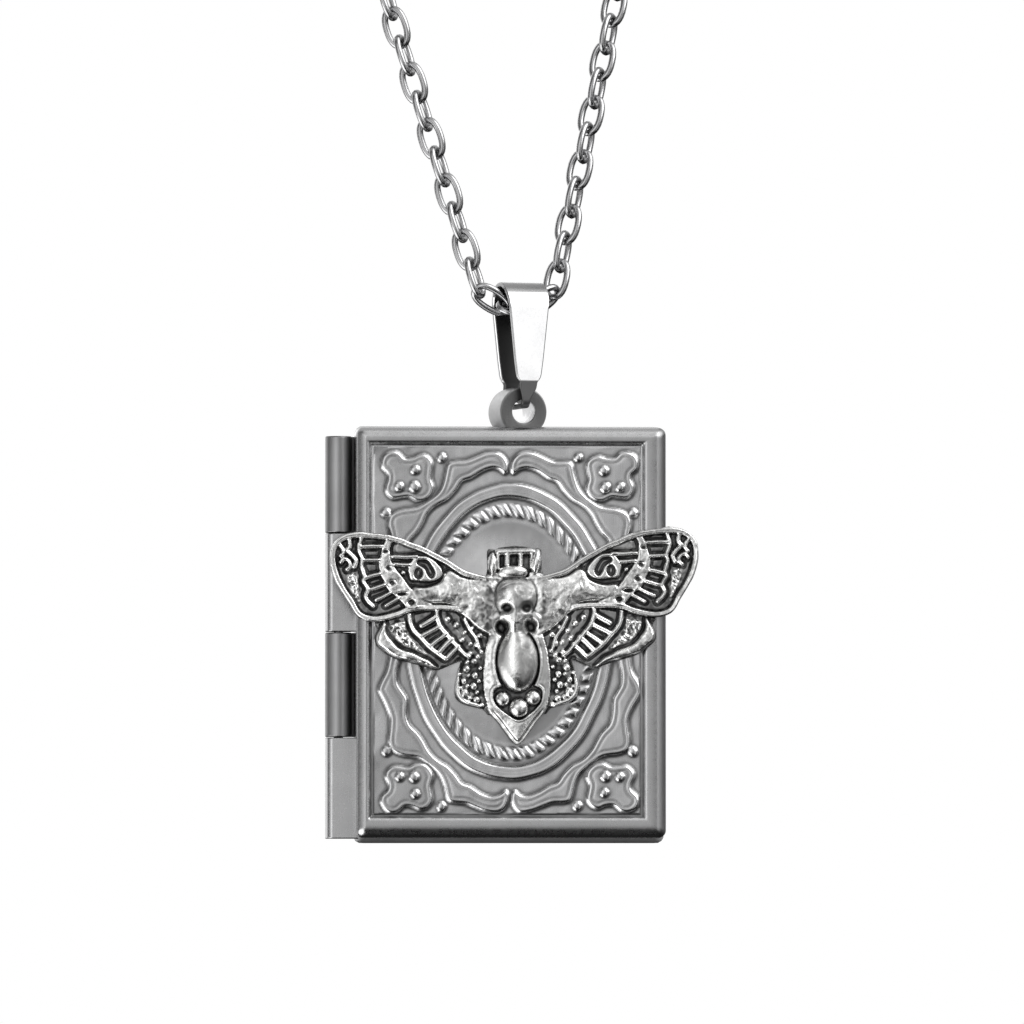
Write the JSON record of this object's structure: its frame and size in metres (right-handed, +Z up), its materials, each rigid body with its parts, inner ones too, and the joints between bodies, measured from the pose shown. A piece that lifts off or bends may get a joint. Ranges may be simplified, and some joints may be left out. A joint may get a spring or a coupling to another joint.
{
  "type": "book-shaped locket necklace with a cast skull moth",
  "caption": "Hinged book-shaped locket with embossed covers and a cast moth bearing a skull on its front, hung by a lug and a folded bail on a cable-link neck chain.",
  "frame": {"origin": "inner side of the chain loop at the nape, where the necklace rests on the back of the neck", "axes": "+Z up, the locket's front cover faces -Y, +X to the right as seen from the front"},
  "size_m": [0.0856, 0.0424, 0.2374],
  "materials": {
    "cover_steel": "satin pressed steel, slightly darkened",
    "antique_silver": "antique silver-plated casting, black in its recesses and bright on its raised lines",
    "polished_steel": "polished stainless steel"
  },
  "bodies": {
    "chain": {"chain_left": "polished_steel", "chain_right": "polished_steel", "clasp": "polished_steel"},
    "bail": {"bail": "polished_steel"},
    "locket": {"cover_back": "cover_steel", "hinge_pin": "cover_steel"},
    "cover": {"cover_front": "cover_steel", "moth": "antique_silver"}
  },
  "joints": [
    {"name": "bail_swing", "type": "hinge", "parent": "chain", "child": "bail", "pos_m": [0.00797, -0.02874, -0.18832], "axis": [0.9636, 0.2672, 0], "range_deg": [-30, 30]},
    {"name": "locket_swing", "type": "hinge", "parent": "bail", "child": "locket", "pos_m": [0.00797, -0.02874, -0.19672], "axis": [0.9636, 0.2672, 0], "range_deg": [-8, 8]},
    {"name": "cover_hinge", "type": "hinge", "parent": "locket", "child": "cover", "pos_m": [-0.00717, -0.02874, -0.21586], "axis": [0, 0, -1], "range_deg": [0, 170]}
  ]
}
